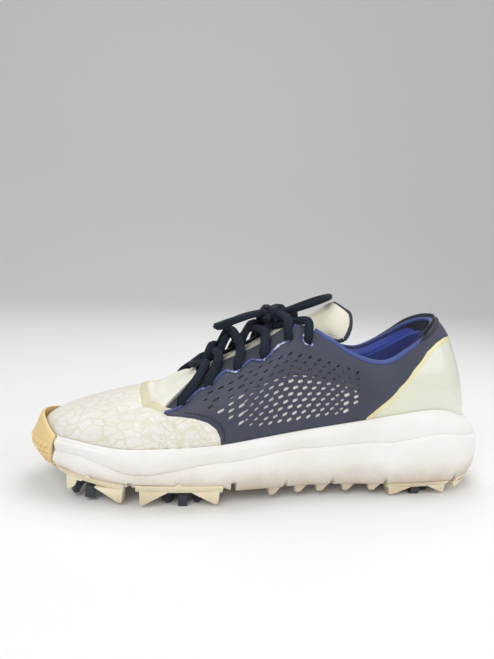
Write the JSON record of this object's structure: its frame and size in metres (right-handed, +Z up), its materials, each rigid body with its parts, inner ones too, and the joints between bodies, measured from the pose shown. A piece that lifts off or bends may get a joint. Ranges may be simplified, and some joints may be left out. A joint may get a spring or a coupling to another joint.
{
  "type": "golf shoe",
  "caption": "Low-cut lace-up golf shoe with a foam midsole, clear rubber tread pods, twist-in soft cleats, perforated quarters and a padded tongue and collar.",
  "frame": {"origin": "centre of the shoe's bounding box in plan, at the tips of the cleats, without the free parts of the lace", "axes": "+X from toe to heel, -Y towards the lateral (outer) side of this left shoe, +Z up"},
  "size_m": [0.3022, 0.1024, 0.1271],
  "materials": {
    "foam": "satin",
    "clear_rubber": "satin",
    "arch_plastic": "gloss",
    "cap_rubber": "satin",
    "board": "matt",
    "insole_cloth": "matt",
    "vamp_hide": "satin",
    "band": "satin",
    "shell": "matt",
    "heel_film": "satin",
    "stiffener": "matt",
    "eyestay": "matt",
    "knit": "matt",
    "foam_pad": "matt",
    "lining": "matt",
    "piping": "matt",
    "tongue_cloth": "matt",
    "binding": "matt",
    "lace": "matt",
    "hard_plastic": "satin",
    "cleat_rubber": "matt"
  },
  "bodies": {
    "shoe": {"midsole": "foam", "tread_pod_toe": "clear_rubber", "tread_pod_ball": "clear_rubber", "tread_pod_heel": "clear_rubber", "tread_pod_heel_tip": "clear_rubber", "arch_plate": "arch_plastic", "toe_cap": "cap_rubber", "strobel_board": "board", "insole": "insole_cloth", "vamp": "vamp_hide", "throat_band": "band", "throat_pad": "tongue_cloth", "quarter_lateral": "shell", "quarter_medial": "shell", "heel_panel": "heel_film", "heel_counter": "stiffener", "toe_puff": "stiffener", "eyestay_lateral": "eyestay", "eyestay_medial": "eyestay", "inner_sleeve": "knit", "collar_foam": "foam_pad", "collar_lining": "lining", "collar_piping": "piping", "lace_lacing": "lace", "lace_knot": "lace", "lace_loop_front": "lace", "lace_loop_back": "lace", "lace_end_1": "lace", "aglet_1": "hard_plastic", "lace_end_2": "lace", "aglet_2": "hard_plastic", "receptacle_toe_lateral": "hard_plastic", "receptacle_toe_medial": "hard_plastic", "receptacle_ball_lateral": "hard_plastic", "receptacle_ball_medial": "hard_plastic", "receptacle_heel_lateral": "hard_plastic", "receptacle_heel_medial": "hard_plastic"},
    "tongue": {"tongue_face": "tongue_cloth", "tongue_foam": "foam_pad", "tongue_lining": "lining", "tongue_binding": "binding"},
    "cleat_toe_lateral": {"cleat_insert_toe_lateral": "hard_plastic", "cleat_toe_lateral": "cleat_rubber"},
    "cleat_toe_medial": {"cleat_insert_toe_medial": "hard_plastic", "cleat_toe_medial": "cleat_rubber"},
    "cleat_ball_lateral": {"cleat_insert_ball_lateral": "hard_plastic", "cleat_ball_lateral": "cleat_rubber"},
    "cleat_ball_medial": {"cleat_insert_ball_medial": "hard_plastic", "cleat_ball_medial": "cleat_rubber"},
    "cleat_heel_lateral": {"cleat_insert_heel_lateral": "hard_plastic", "cleat_heel_lateral": "cleat_rubber"},
    "cleat_heel_medial": {"cleat_insert_heel_medial": "hard_plastic", "cleat_heel_medial": "cleat_rubber"}
  },
  "joints": [
    {"name": "tongue_hinge", "type": "hinge", "parent": "shoe", "child": "tongue", "pos_m": [-0.071, 0, 0.054], "axis": [0, 1, 0], "range_deg": [0, 12]},
    {"name": "cleat_twist_toe_lateral", "type": "hinge", "parent": "shoe", "child": "cleat_toe_lateral", "pos_m": [-0.10891, -0.02319, 0.01195], "axis": [0.0945, 0, 0.9955], "range_deg": [0, 60]},
    {"name": "cleat_twist_toe_medial", "type": "hinge", "parent": "shoe", "child": "cleat_toe_medial", "pos_m": [-0.11191, 0.02381, 0.01209], "axis": [0.1175, 0, 0.9931], "range_deg": [0, 60]},
    {"name": "cleat_twist_ball_lateral", "type": "hinge", "parent": "shoe", "child": "cleat_ball_lateral", "pos_m": [-0.05491, -0.03119, 0.0093], "axis": [0, 0, 1], "range_deg": [0, 60]},
    {"name": "cleat_twist_ball_medial", "type": "hinge", "parent": "shoe", "child": "cleat_ball_medial", "pos_m": [-0.05891, 0.03181, 0.0093], "axis": [0, 0, 1], "range_deg": [0, 60]},
    {"name": "cleat_twist_heel_lateral", "type": "hinge", "parent": "shoe", "child": "cleat_heel_lateral", "pos_m": [0.09709, -0.02019, 0.0093], "axis": [0, 0, 1], "range_deg": [0, 60]},
    {"name": "cleat_twist_heel_medial", "type": "hinge", "parent": "shoe", "child": "cleat_heel_medial", "pos_m": [0.09709, 0.01981, 0.0093], "axis": [0, 0, 1], "range_deg": [0, 60]}
  ]
}
